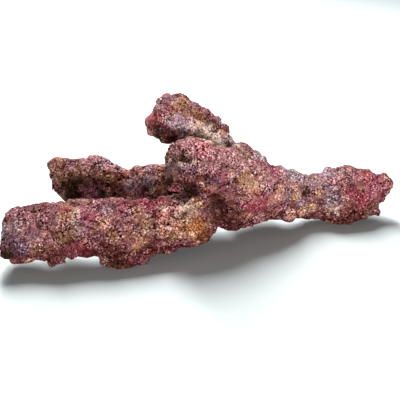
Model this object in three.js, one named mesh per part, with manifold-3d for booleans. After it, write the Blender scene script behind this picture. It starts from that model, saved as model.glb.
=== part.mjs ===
// A dry reef rock: a branching lump of old reef, four blunt broken branches that spread from one tapered trunk.
// Millimetres. +X runs along the rock to the trunk's tip, +Y to the branch at the back, +Z up from the surface it
// rests on. The origin is under the middle of its outline.
import * as THREE from 'three';
import { mergeVertices } from 'three/addons/utils/BufferGeometryUtils.js';
import { ImprovedNoise } from 'three/addons/math/ImprovedNoise.js';
import Module from 'manifold-3d';

const wasm = await Module();
wasm.setup();

// The facets of a limb and of what grows on it are about this long.
const LIMB_FACET = 9;
const NODULE_FACET = 6.5;

// The pieces keep this gap where the rock is split at its forks, and this one where two limbs lie side by side.
const FORK_GAP = 0.3;
const FLANK_GAP = 0.9;

// Weathering: the spacing of the swells and knobs all over the rock, and how far they stand out on a limb at least
// as thick as FULL_WEATHERING across half of it. A thinner one has less.
const SWELL_SPACING = 34;
const SWELL_HEIGHT = 3;
const KNOB_SPACING = 14;
const KNOB_HEIGHT = 4;
const FULL_WEATHERING = 18;

// The round ends of a limb are pressed square by this power of their radius: 0 leaves them round.
const SQUARENESS = 0.42;

// The pits worn into every limb: their usual radius, how much that varies, how deep they are for their width, and how
// far their middle stands proud of the skin.
const PIT_RADIUS = 4.2;
const PIT_VARIETY = 0.45;
const PIT_FLATNESS = 0.8;
const PIT_PROUD = 0.6;

// A limb is a line of stations: x, y and z of its middle, then half its width and half its height there.
// blunt is how far its start and its end stand out past the first and the last station. Its nodules are short limbs
// grown on it, its hollows are short limbs cut out of it, and its fork is the plane where it joins the trunk: a point
// there, and the way the limb leaves.
const TRUNK = {
  stations: [
    [16, -4, 38, 23, 23],
    [32, 6, 37, 26, 25],
    [54, 20, 39, 27, 24],
    [78, 31, 31, 22, 23],
    [98, 38, 25, 18, 20],
    [117, 43, 27, 22, 23],
    [137, 47, 28, 26, 26.5],
    [155, 51, 30, 21, 21],
    [166, 53, 32, 15, 15],
  ],
  blunt: [10, 7],
  nodules: [
    // The lobe at the tip
    { stations: [[160, 52, 33, 12, 12], [171, 54, 36, 11, 11]], blunt: [6, 8] },
    // What the tip rests on
    { stations: [[122, 38, 14, 17, 14], [148, 44, 15, 16, 13]], blunt: [10, 11] },
    // A lump that hangs under the crossing
    { stations: [[21, -4, 26, 15, 13], [23, -4, 16, 12, 10]], blunt: [6, 5] },
    // A shoulder over the crossing, on the side of the tip
    { stations: [[56, 24, 47, 15, 12], [76, 32, 39, 11, 10]], blunt: [7, 7] },
    // A long swelling on its back, and a knob beyond it
    { stations: [[30, 26, 26, 15, 15], [62, 44, 24, 14, 13]], blunt: [9, 9] },
    { stations: [[118, 60, 30, 11, 11], [126, 64, 27, 10, 10]], blunt: [7, 7] },
  ],
  hollows: [
    // The crack behind the lobe at the tip, over its top and again lower down
    { stations: [[157, 38, 50, 1.8, 3.5], [161, 47, 52, 1.8, 3.5], [165, 59, 51, 1.8, 3.5]], blunt: [3, 3] },
    { stations: [[166, 37, 36, 1.8, 3.5], [170, 40, 30, 1.8, 3.5]], blunt: [3, 3] },
    // A cavity at the waist
    { stations: [[95, 19, 32, 4, 3], [101, 21, 32, 4, 3]], blunt: [3, 3] },
    // A worn dip in the flank under the raised branch
    { stations: [[44, -19, 44, 5, 4], [58, -12, 40, 5, 4]], blunt: [4, 4] },
  ],
  pits: 13,
};

const FRONT_BRANCH = {
  stations: [
    [-163, -61, 30, 24, 24],
    [-132, -57, 35, 25, 25],
    [-103, -53, 34, 25, 25],
    [-77, -49, 33, 26, 25],
    [-47, -40, 30, 25, 26],
    [-21, -29, 31, 24, 24],
    [0, -21, 35, 21, 20],
  ],
  blunt: [11, 9],
  nodules: [
    // The foot it rests on
    { stations: [[-85, -57, 12, 14, 13], [-72, -57, 10.5, 14, 13], [-54, -51, 14, 13, 13]], blunt: [9, 9] },
    // Two small stubs that end just short of the ground
    { stations: [[-131, -59, 17, 9, 9], [-133, -63, 5, 5.5, 5.5]], blunt: [5, 3] },
    { stations: [[-158, -62, 14, 9, 8], [-166, -63, 11, 7, 6]], blunt: [5, 4] },
    // A spur on its broken end, towards the raised branch
    { stations: [[0, -22, 50, 8, 8], [1, -25, 59, 4, 4]], blunt: [4, 4] },
    // A low ridge beside the notch
    { stations: [[-126, -64, 53, 8, 6], [-129, -48, 54, 8, 6]], blunt: [6, 6] },
    // Lumps on its back
    { stations: [[-142, -38, 36, 11, 13], [-122, -35, 30, 11, 12]], blunt: [8, 8] },
    { stations: [[-76, -28, 26, 12, 11], [-62, -23, 34, 11, 11]], blunt: [8, 8] },
  ],
  hollows: [
    // A notch across its back, where it once cracked
    { stations: [[-114, -68, 60, 2.5, 3], [-117, -55, 62, 2.5, 3], [-120, -42, 61, 2.5, 3]], blunt: [3, 3] },
    // A dip high on its front, past the middle
    { stations: [[-42, -62, 47, 4, 3], [-30, -56, 46, 4, 3]], blunt: [4, 4] },
  ],
  pits: 12,
  fork: { at: [-14, -25, 33], towards: [-0.87, -0.48, 0] },
};

const RAISED_BRANCH = {
  stations: [
    [-25, -39, 88, 20, 22],
    [-8, -31, 83, 22, 24],
    [12, -17, 70, 25, 26],
    [38, 2, 52, 28, 27],
    [64, 20, 40, 24, 23],
  ],
  blunt: [7, 9],
  nodules: [],
  hollows: [
    // The deep mouth in its end, and a slit over it
    { stations: [[-29, -57, 103, 6.5, 5], [-21, -50, 103, 6.5, 5]], blunt: [4, 4] },
    { stations: [[-31, -50, 110, 3, 2], [-22, -46, 111, 3, 2]], blunt: [3, 3] },
  ],
  pits: 6,
  fork: { at: [6, -21, 74], towards: [-0.72, -0.5, 0.48] },
};

const UPPER_BRANCH = {
  stations: [
    [-41, 22, 114, 21, 22],
    [-15, 22, 103, 21, 23],
    [9, 20, 84, 19, 18],
    [31, 19, 67, 19, 17],
    [57, 24, 46, 20, 17],
  ],
  blunt: [6, 9],
  nodules: [
    // The wall behind the channel ends in a step
    { stations: [[-2, 26, 96, 7, 6], [8, 25, 89, 7, 6]], blunt: [5, 3] },
    // A lump on its back
    { stations: [[-26, 40, 104, 9, 10], [-12, 41, 95, 9, 10]], blunt: [7, 7] },
  ],
  hollows: [
    // The worn channel along its back
    {
      stations: [[-34, 10, 135, 4, 4], [-21, 9, 129, 6, 5], [-4, 9, 117, 6, 5], [10, 8, 106, 5, 5], [18, 8, 99, 3, 3]],
      blunt: [4, 3],
    },
    // A nick in the rim of its end
    { stations: [[-47, 28, 138, 2, 4], [-30, 28, 138, 2, 4]], blunt: [3, 3] },
  ],
  pits: 6,
  fork: { at: [14, 21, 81], towards: [-0.84, 0, 0.54] },
};

const REAR_BRANCH = {
  stations: [
    [-141, 62, 41, 17, 18],
    [-117, 60, 36, 20, 21],
    [-94, 53, 37, 20, 21],
    [-71, 44, 32, 16, 16],
    [-45, 36, 40, 18, 21],
    [-6, 22, 38, 19, 20],
    [26, 12, 36, 22, 20],
  ],
  blunt: [9, 8],
  nodules: [
    // The knob at its end
    { stations: [[-143, 62, 49, 10, 10], [-145, 62, 54, 9, 9]], blunt: [8, 5] },
    // The foot it rests on
    { stations: [[-110, 60, 22, 15, 14], [-106, 59, 9, 14, 12]], blunt: [9, 12] },
    // A lump on its back
    { stations: [[-88, 70, 34, 10, 10], [-72, 61, 38, 9, 10]], blunt: [8, 7] },
  ],
  hollows: [
    // A dip in its flank, in the shade of the knob
    { stations: [[-124, 43, 42, 5, 4], [-112, 39, 44, 5, 4]], blunt: [4, 4] },
  ],
  pits: 8,
  fork: { at: [-16, 25, 38], towards: [-0.94, 0.34, 0] },
};

const BRANCHES = {
  front_branch: FRONT_BRANCH,
  raised_branch: RAISED_BRANCH,
  upper_branch: UPPER_BRANCH,
  rear_branch: REAR_BRANCH,
};

// Dry stone is quite dull. The trunk and the branches differ a little in colour.
const TRUNK_COLOUR = 0x8f5a5e;
const BRANCH_COLOUR = 0x93606a;
const DULLNESS = 0.95;

// No limb reaches this far.
const FAR = 600;

const noise = new ImprovedNoise();

// Smooth noise between about -1 and 1, whose hills are about `spacing` apart. Each seed has hills of its own.
function hills(at, spacing, seed) {
  return 1.4 * noise.noise(at.x / spacing + seed, at.y / spacing + 1.7 * seed, at.z / spacing - seed);
}

// How far the weathered surface stands out from the smooth one at a point of a limb with this half height.
function weathering(at, high) {
  const swell = SWELL_HEIGHT * hills(at, SWELL_SPACING, 3.1);
  const knob = KNOB_HEIGHT * hills(at, KNOB_SPACING, 7.9);
  return (swell + knob) * Math.min(1, high / FULL_WEATHERING);
}

// A closed geometry as a solid.
function solid(geometry) {
  const bare = geometry.clone();
  bare.deleteAttribute('normal');
  bare.deleteAttribute('uv');
  const merged = mergeVertices(bare, 1e-3);
  return new wasm.Manifold(
    new wasm.Mesh({
      numProp: 3,
      vertProperties: merged.attributes.position.array,
      triVerts: new Uint32Array(merged.index.array),
    }),
  );
}

// A weathered limb without its nodules and hollows, and the points of its skin: a capsule bent along the line of its
// stations, its round ends pressed square. It is thicker all round by what it is to stand proud.
function shaft({ stations, blunt }, facet, proud = 0) {
  const middles = stations.map(([x, y, z]) => new THREE.Vector3(x, y, z));
  const line = new THREE.CatmullRomCurve3(middles, false, 'centripetal');
  const section = new THREE.CatmullRomCurve3(stations.map(([, , , wide, high]) => new THREE.Vector3(wide, high, 0)));
  const girth = Math.PI * 2 * Math.max(...stations.map(([, , , wide]) => wide));
  const steps = Math.max(1, Math.round(line.getLength() / facet));
  const around = Math.max(7, Math.round(girth / facet));
  const rings = Math.max(2, Math.round(around / 6));
  const tube = new THREE.CapsuleGeometry(1, 2, rings, around, steps);
  const position = tube.attributes.position;
  const upright = Math.abs(line.getTangent(0.5).z) > 0.9;
  const reference = upright ? new THREE.Vector3(0, 1, 0) : new THREE.Vector3(0, 0, 1);
  for (let i = 0; i < position.count; i++) {
    const along = position.getY(i);
    const u = THREE.MathUtils.clamp((along + 1) / 2, 0, 1);
    const past = Math.max(Math.abs(along) - 1, 0) * Math.sign(along);
    const radius = Math.max(Math.hypot(position.getX(i), position.getZ(i)), 1e-6);
    const fullness = past === 0 ? 1 : radius ** -SQUARENESS;
    const tangent = line.getTangent(u);
    const side = new THREE.Vector3().crossVectors(tangent, reference).normalize();
    const top = new THREE.Vector3().crossVectors(side, tangent);
    const size = section.getPoint(u).addScalar(proud);
    const across = side.multiplyScalar(position.getX(i) * size.x * fullness);
    across.addScaledVector(top, position.getZ(i) * size.y * fullness);
    const out = across.clone().addScaledVector(tangent, past * size.x).normalize();
    const at = line.getPoint(u).add(across).addScaledVector(tangent, past * (past < 0 ? blunt[0] : blunt[1]));
    at.addScaledVector(out, weathering(at, size.y));
    position.setXYZ(i, at.x, at.y, at.z);
  }
  return { body: solid(tube), skin: position };
}

// The pits of a limb, spread evenly over the points of its skin.
function pits(skin, count) {
  return Array.from({ length: count }, (_, k) => {
    const at = new THREE.Vector3().fromBufferAttribute(skin, Math.floor(((k + 0.5) / count) * skin.count));
    const radius = PIT_RADIUS * (1 + PIT_VARIETY * hills(at, KNOB_SPACING, 5.3));
    const bowl = new THREE.DodecahedronGeometry(radius).scale(1, 1, PIT_FLATNESS);
    return solid(bowl.translate(at.x, at.y, at.z + PIT_PROUD));
  });
}

// A whole limb, with its nodules, hollows and pits. A nodule fills the pits that it grows over.
function limb(form) {
  const { body, skin } = shaft(form, LIMB_FACET);
  const pitted = pits(skin, form.pits).reduce((whole, pit) => whole.subtract(pit), body);
  const grown = form.nodules.reduce((whole, nodule) => whole.add(shaft(nodule, NODULE_FACET).body), pitted);
  return form.hollows.reduce((whole, hollow) => whole.subtract(shaft(hollow, NODULE_FACET).body), grown);
}

// All the space on one side of a fork, from this far past it: ahead is 1 on the limb's side, -1 on the trunk's.
function besideFork({ at, towards }, ahead, past = FORK_GAP / 2) {
  const box = new THREE.BoxGeometry(FAR, FAR, FAR);
  const leave = new THREE.Vector3(...towards).normalize().multiplyScalar(ahead);
  box.translate(FAR / 2 + past, 0, 0);
  box.applyQuaternion(new THREE.Quaternion().setFromUnitVectors(new THREE.Vector3(1, 0, 0), leave));
  box.translate(...at);
  return solid(box);
}

// A solid as a named, coloured piece.
function piece(name, shape, colour) {
  const { numProp, vertProperties, triVerts } = shape.getMesh();
  const corners = new Float32Array((vertProperties.length / numProp) * 3);
  for (let i = 0; i < corners.length / 3; i++) {
    corners.set(vertProperties.subarray(i * numProp, i * numProp + 3), i * 3);
  }
  const geometry = new THREE.BufferGeometry();
  geometry.setAttribute('position', new THREE.BufferAttribute(corners, 3));
  geometry.setIndex(new THREE.BufferAttribute(triVerts, 1));
  const mesh = new THREE.Mesh(geometry, new THREE.MeshStandardMaterial({ color: colour, roughness: DULLNESS }));
  mesh.name = name;
  return mesh;
}

// Each branch is its limb on its own side of the fork, and its bed is the room that the other pieces leave it there.
// The rest of its limb belongs to the trunk.
const aboveGround = solid(new THREE.BoxGeometry(FAR, FAR, FAR).translate(0, 0, FAR / 2));
const branches = [];
let trunk = limb(TRUNK).intersect(aboveGround);
for (const [name, form] of Object.entries(BRANCHES)) {
  const whole = limb(form).intersect(aboveGround);
  const bed = shaft(form, LIMB_FACET, FLANK_GAP).body.intersect(besideFork(form.fork, 1, -FORK_GAP / 2));
  trunk = trunk.add(whole.intersect(besideFork(form.fork, -1)));
  branches.forEach((earlier) => {
    earlier.shape = earlier.shape.subtract(bed);
  });
  branches.push({ name, shape: whole.intersect(besideFork(form.fork, 1)), bed });
}

const rock = new THREE.Group();
branches.forEach(({ name, shape }) => rock.add(piece(name, shape, BRANCH_COLOUR)));
rock.add(piece('trunk', branches.reduce((whole, { bed }) => whole.subtract(bed), trunk), TRUNK_COLOUR));

const middle = new THREE.Box3().setFromObject(rock).getCenter(new THREE.Vector3());
rock.position.set(-middle.x, -middle.y, 0);
export default rock;
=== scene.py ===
"""Looks of a dry reef rock: a branching lump of old reef under a crust of pink, lavender and ochre grains.

The model's five pieces are fused, weathered as one stone, so that its grain runs on over the forks, and
parted again. Everything is in metres, in the model's own frame, save where millimetres or pixels are named.
"""

import logging
import math
from dataclasses import dataclass, field
from enum import Enum
from typing import Any

import bpy
from bpy.types import Material, Node, NodeSocket, NodeTree, Object
from mathutils import Color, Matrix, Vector
from mathutils.bvhtree import BVHTree


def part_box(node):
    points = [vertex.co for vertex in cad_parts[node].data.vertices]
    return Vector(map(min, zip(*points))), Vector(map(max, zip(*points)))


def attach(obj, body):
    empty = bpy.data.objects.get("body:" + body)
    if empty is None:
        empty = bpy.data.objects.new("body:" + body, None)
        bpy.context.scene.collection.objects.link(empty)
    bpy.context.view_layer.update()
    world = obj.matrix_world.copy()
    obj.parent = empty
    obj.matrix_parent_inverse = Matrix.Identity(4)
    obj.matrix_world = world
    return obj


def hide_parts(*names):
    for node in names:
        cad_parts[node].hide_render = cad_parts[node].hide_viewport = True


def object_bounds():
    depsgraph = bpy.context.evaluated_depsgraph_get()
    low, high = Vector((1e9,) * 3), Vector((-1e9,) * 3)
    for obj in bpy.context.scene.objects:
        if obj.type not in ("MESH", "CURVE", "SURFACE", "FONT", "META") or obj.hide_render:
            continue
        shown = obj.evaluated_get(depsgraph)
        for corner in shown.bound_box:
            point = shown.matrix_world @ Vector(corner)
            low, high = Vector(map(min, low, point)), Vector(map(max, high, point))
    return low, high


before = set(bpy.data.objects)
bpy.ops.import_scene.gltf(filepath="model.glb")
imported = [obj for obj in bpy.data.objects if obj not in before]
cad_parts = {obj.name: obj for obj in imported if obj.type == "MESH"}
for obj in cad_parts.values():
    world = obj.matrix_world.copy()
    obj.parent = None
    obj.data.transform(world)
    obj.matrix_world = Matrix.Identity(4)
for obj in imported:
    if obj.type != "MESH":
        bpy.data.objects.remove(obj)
cad_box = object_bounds()

log = logging.getLogger("reef_rock")

MM = 0.001

Rgba = tuple[float, float, float, float]


class Limb(Enum):
    """The limbs of the rock, by the names of their pieces in the model."""

    TRUNK = "trunk"
    FRONT = "front_branch"
    RAISED = "raised_branch"
    UPPER = "upper_branch"
    REAR = "rear_branch"


class Hue(Enum):
    """Colours of the crust, and of painted shade, as red, green and blue from 0 to 255."""

    DUSTY_PINK = (152, 96, 97)
    PINK = (204, 143, 145)
    ROSE = (171, 111, 116)
    MAGENTA = (174, 93, 108)
    CRIMSON = (155, 67, 79)
    CORAL = (212, 124, 128)
    MAROON = (103, 53, 48)
    WINE = (122, 60, 67)
    PLUM = (128, 78, 83)
    MAUVE = (138, 102, 110)
    LILAC = (166, 128, 134)
    LAVENDER = (192, 160, 170)
    VIOLET = (121, 86, 105)
    OCHRE = (191, 138, 104)
    SAND = (221, 168, 135)
    TAN = (155, 109, 80)
    OLIVE = (140, 100, 74)
    ORANGE = (188, 118, 70)
    RUST = (119, 65, 36)
    PEACH = (218, 156, 138)
    CREAM = (250, 208, 186)
    # Nearly white: pale crust, also used as painted light on shaded flanks.
    BLEACHED = (255, 226, 211)
    # Near-black brown, put down as painted shade in gaps, crevices, holes and under the limbs.
    UMBER = (52, 26, 17)
    # Near-black red, painted shade for the pits.
    PORE = (50, 18, 15)

    @property
    def linear(self) -> Rgba:
        """The colour as shaders take it: linear, with an alpha of 1."""
        red, green, blue = Color([channel / 255 for channel in self.value]).from_srgb_to_scene_linear()
        return red, green, blue, 1.0


@dataclass(frozen=True)
class Dab:
    """A dab of one pigment, which covers what is under it by its strength, up to 1. Most dabs are stains of
    the crust; some are painted shade and some painted light.

    The spot is where its middle shows in a 400 by 400 picture from the camera, in pixels. The radius is in
    millimetres on the stone.
    """

    pigment: Hue
    spot: tuple[float, float]
    radius: float
    strength: float = 0.85


@dataclass(frozen=True)
class Bulge:
    """A place where the stone stands out, or is worn in where the height is below zero.

    The spot is given as a dab's is. The radius and the height are in millimetres.
    """

    spot: tuple[float, float]
    radius: float
    height: float


@dataclass(frozen=True)
class Blotches:
    """Soft blotches of one pigment over the whole crust, moved aside so that no two kinds fall together."""

    pigment: Hue
    spacing: float
    amount: float
    aside: float


@dataclass(frozen=True)
class Ease:
    """A smooth step from low, up to the start, to high, from the end on. The end may be below the start."""

    start: float
    end: float
    low: float = 0.0
    high: float = 1.0


@dataclass(frozen=True)
class Areas:
    """Areas of the stone in which something is found, as a step over noise from 0 to 1."""

    spacing: float
    step: Ease
    detail: float = 2.0


@dataclass(frozen=True)
class Wander:
    """A way to move places by noise, within a reach, which bends what is drawn there."""

    spacing: float
    reach: float
    detail: float = 2.0


@dataclass(frozen=True)
class Relief:
    """Rounded unevenness, whose features are even with the stone where the cells or noise have its level."""

    spacing: float
    height: float
    level: float = 0.5


@dataclass(frozen=True)
class Hollows:
    """Hollows with a height below zero, and a rim over the distance from their middles in spacings."""

    spacing: float
    height: float
    rim: Ease
    areas: Areas


def pick(*things: Object) -> None:
    """Selects only some objects.

    Args:
        *things: the objects, of which the first becomes the active one.
    """
    bpy.ops.object.select_all(action="DESELECT")
    for thing in things:
        thing.select_set(True)
    bpy.context.view_layer.objects.active = things[0]


def apply_modifier(thing: Object, kind: str, **settings: Any) -> None:
    """Adds a modifier to an object and applies it.

    Args:
        thing: the object.
        kind: the modifier's type.
        **settings: its settings.
    """
    pick(thing)
    modifier = thing.modifiers.new(kind.lower(), kind)
    for name, value in settings.items():
        setattr(modifier, name, value)
    bpy.ops.object.modifier_apply(modifier=modifier.name)


class Sheet:
    """A node tree that is being drawn up."""

    rounding = {"SMOOTH_F1": {"Smoothness": 0.35}}

    def __init__(self, tree: NodeTree) -> None:
        """Takes the tree to draw on."""
        self.tree = tree

    def node(self, kind: str, sockets: dict[Any, Any] | None = None, **settings: Any) -> Node:
        """Adds a node.

        Args:
            kind: its type.
            sockets: what its inputs hold, by name or number: a value, or another node's output.
            **settings: its settings.

        Returns:
            The node.
        """
        made = self.tree.nodes.new(kind)
        for name, value in settings.items():
            setattr(made, name, value)
        for key, value in (sockets or {}).items():
            if isinstance(value, NodeSocket):
                self.tree.links.new(value, made.inputs[key])
            else:
                made.inputs[key].default_value = value
        return made

    def sums(self, operation: str, first: Any, second: Any = 0.0, third: Any = 0.0) -> NodeSocket:
        """Adds a Math node and returns its result."""
        return self.node("ShaderNodeMath", {0: first, 1: second, 2: third}, operation=operation).outputs[0]

    def vectors(self, operation: str, first: Any, second: Any = (0.0, 0.0, 0.0)) -> Node:
        """Adds a Vector Math node and returns it."""
        return self.node("ShaderNodeVectorMath", {0: first, 1: second}, operation=operation)

    def stretched(self, vector: Any, factor: Any) -> NodeSocket:
        """Returns a vector times a number."""
        made = self.node("ShaderNodeVectorMath", {0: vector, "Scale": factor}, operation="SCALE")
        return made.outputs[0]

    def eased(self, value: Any, step: Ease) -> NodeSocket:
        """Returns a value taken through a smooth step."""
        sockets = {0: value, 1: step.start, 2: step.end, 3: step.low, 4: step.high}
        return self.node("ShaderNodeMapRange", sockets, interpolation_type="SMOOTHSTEP").outputs[0]

    def mixed(self, share: Any, under: Any, over: Any, way: str = "MIX") -> NodeSocket:
        """Returns two colours mixed, in a share of the second."""
        sockets = {0: share, 6: under, 7: over}
        return self.node("ShaderNodeMix", sockets, data_type="RGBA", blend_type=way).outputs[2]

    def noise(self, place: Any, spacing: float, detail: float = 2.0, rough: float = 0.5) -> Node:
        """Adds smooth noise whose hills are about this far apart, from 0 to 1, and returns its node."""
        sockets = {"Vector": place, "Scale": 1 / spacing, "Detail": detail, "Roughness": rough}
        return self.node("ShaderNodeTexNoise", sockets)

    def cells(self, place: Any, spacing: float, feature: str = "F1") -> NodeSocket:
        """Returns the distance from the middles, or the edges, of cells of about this size."""
        sockets = {"Vector": place, "Scale": 1 / spacing} | self.rounding.get(feature, {})
        return self.node("ShaderNodeTexVoronoi", sockets, feature=feature).outputs["Distance"]

    def wandered(self, place: Any, wander: Wander) -> NodeSocket:
        """Returns a place moved about by noise."""
        swing = self.noise(place, wander.spacing, wander.detail).outputs[1]
        return self.vectors("ADD", place, self.stretched(swing, wander.reach)).outputs[0]

    def within(self, place: Any, areas: Areas) -> NodeSocket:
        """Returns how strong something is at a place, which is found in some areas of the stone."""
        return self.eased(self.noise(place, areas.spacing, areas.detail).outputs[0], areas.step)

    def mounds(self, place: Any, relief: Relief, feature: str = "F1") -> NodeSocket:
        """Returns the height of rounded mounds, one in each cell."""
        away = self.cells(place, relief.spacing, feature)
        return self.sums("MULTIPLY", self.sums("SUBTRACT", relief.level, away), relief.height)

    def worn(self, place: Any, bent: Any, hollows: Hollows, feature: str = "F1") -> NodeSocket:
        """Returns how far hollows are worn in, up to 1, where their cells lie in a bent place."""
        deep = self.eased(self.cells(bent, hollows.spacing, feature), hollows.rim)
        return self.sums("MULTIPLY", deep, self.within(place, hollows.areas))


@dataclass
class Weathering:
    """The relief of the whole rock, from its lumps down to its sandy grains, as node modifiers.

    Blunt is the share of a bulge's reach that has its full height. Sink is how far the skin is set in, so
    that its grains don't fatten the rock. Limit has the corners of the box that the stone stays in. Each
    bulge stands beside the place of its middle.
    """

    swells: Relief = Relief(19 * MM, 2.2 * MM)
    swell_detail: float = 3.0
    knobs: Relief = Relief(8.5 * MM, 2.6 * MM, 0.45)
    crumbs: Relief = Relief(3.2 * MM, 1.2 * MM)
    sand: Relief = Relief(1.9 * MM, 0.6 * MM)
    pits: Hollows = Hollows(12 * MM, -3.0 * MM, Ease(0.34, 0.12), Areas(30 * MM, Ease(0.46, 0.56)))
    pores: Hollows = Hollows(4.2 * MM, -1.5 * MM, Ease(0.36, 0.1), Areas(14 * MM, Ease(0.42, 0.6, 0.25, 1.0)))
    creases: Hollows = Hollows(13 * MM, -1.6 * MM, Ease(0.075, 0.01), Areas(17 * MM, Ease(0.47, 0.57)))
    lump_bend: Wander = Wander(7 * MM, 4 * MM)
    crumb_bend: Wander = Wander(2.5 * MM, 2 * MM)
    crease_bend: Wander = Wander(8 * MM, 7 * MM, 3.0)
    blunt: float = 0.15
    sink: float = 0.2 * MM
    limit: tuple[Vector, Vector] = field(default_factory=lambda: cad_box)
    bulges: list[tuple[Vector, Bulge]] = field(default_factory=list)

    def modifier_tree(self, name: str) -> tuple[Sheet, Node, Node]:
        """Starts a tree for a modifier.

        Args:
            name: its name.

        Returns:
            The sheet, the node that brings the mesh in and the node that takes it out.
        """
        tree = bpy.data.node_groups.new(name, "GeometryNodeTree")
        tree.interface.new_socket("Geometry", in_out="INPUT", socket_type="NodeSocketGeometry")
        tree.interface.new_socket("Geometry", in_out="OUTPUT", socket_type="NodeSocketGeometry")
        sheet = Sheet(tree)
        return sheet, sheet.node("NodeGroupInput"), sheet.node("NodeGroupOutput")

    def keep(self, sheet: Sheet, mesh: Any, name: str, value: Any, kind: str = "FLOAT") -> NodeSocket:
        """Returns the mesh with a value kept at each of its points, for the crust's colours and its painted
        shade.
        """
        sockets = {"Geometry": mesh, "Name": name, "Value": value}
        return sheet.node("GeometryNodeStoreNamedAttribute", sockets, data_type=kind).outputs[0]

    def lumps(self) -> NodeTree:
        """Draws up the relief of swells, knobs and pits, and of the single bulges and dents.

        Returns:
            The modifier's tree.
        """
        sheet, mesh_in, mesh_out = self.modifier_tree("lumps")
        place = sheet.node("GeometryNodeInputPosition").outputs[0]
        normal = sheet.node("GeometryNodeInputNormal").outputs[0]
        swell = sheet.noise(place, self.swells.spacing, self.swell_detail).outputs[0]
        swell = sheet.sums("SUBTRACT", swell, self.swells.level)
        swell = sheet.sums("MULTIPLY", swell, 2 * self.swells.height)
        bent = sheet.wandered(place, self.lump_bend)
        pitted = sheet.worn(place, bent, self.pits)
        height = sheet.sums("ADD", swell, sheet.mounds(bent, self.knobs, "SMOOTH_F1"))
        height = sheet.sums("ADD", height, sheet.sums("MULTIPLY", pitted, self.pits.height))
        shaped: Any = 0.0
        for middle, mark in self.bulges:
            away = sheet.vectors("DISTANCE", place, middle).outputs["Value"]
            reach = mark.radius * MM
            rise = Ease(reach, self.blunt * reach, 0.0, mark.height * MM)
            shaped = sheet.sums("ADD", shaped, sheet.eased(away, rise))
        height = sheet.sums("ADD", height, shaped)
        moved = {"Geometry": mesh_in.outputs[0], "Offset": sheet.stretched(normal, height)}
        shifted = sheet.node("GeometryNodeSetPosition", moved)
        kept = self.keep(sheet, shifted.outputs[0], "pitted", pitted)
        kept = self.keep(sheet, kept, "lump", sheet.sums("DIVIDE", height, MM))
        sheet.tree.links.new(kept, mesh_out.inputs[0])
        return sheet.tree

    def grit(self) -> NodeTree:
        """Draws up the relief of crumbs, grains, pores and creases, and keeps each point's place under it.

        Returns:
            The modifier's tree.
        """
        sheet, mesh_in, mesh_out = self.modifier_tree("grit")
        place = sheet.node("GeometryNodeInputPosition").outputs[0]
        normal = sheet.node("GeometryNodeInputNormal").outputs[0]
        kept = self.keep(sheet, mesh_in.outputs[0], "place", place, "FLOAT_VECTOR")
        upward = sheet.node("ShaderNodeSeparateXYZ", {0: normal}).outputs[2]
        kept = self.keep(sheet, kept, "upward", upward)
        bent = sheet.wandered(place, self.crumb_bend)
        winding = sheet.wandered(place, self.crease_bend)
        pored = sheet.worn(place, place, self.pores)
        creased = sheet.worn(place, winding, self.creases, "DISTANCE_TO_EDGE")
        rough = sheet.sums("ADD", sheet.mounds(bent, self.crumbs), sheet.mounds(bent, self.sand))
        rough = sheet.sums("ADD", rough, sheet.sums("MULTIPLY", pored, self.pores.height))
        rough = sheet.sums("ADD", rough, sheet.sums("MULTIPLY", creased, self.creases.height))
        kept = self.keep(sheet, kept, "crumb", sheet.sums("DIVIDE", rough, MM))
        height = sheet.sums("SUBTRACT", rough, self.sink)
        moved = sheet.vectors("ADD", place, sheet.stretched(normal, height)).outputs[0]
        low, high = (tuple(corner) for corner in self.limit)
        inside = sheet.vectors("MINIMUM", sheet.vectors("MAXIMUM", moved, low).outputs[0], high).outputs[0]
        placed = sheet.node("GeometryNodeSetPosition", {"Geometry": kept, "Position": inside})
        sheet.tree.links.new(placed.outputs[0], mesh_out.inputs[0])
        return sheet.tree


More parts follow.
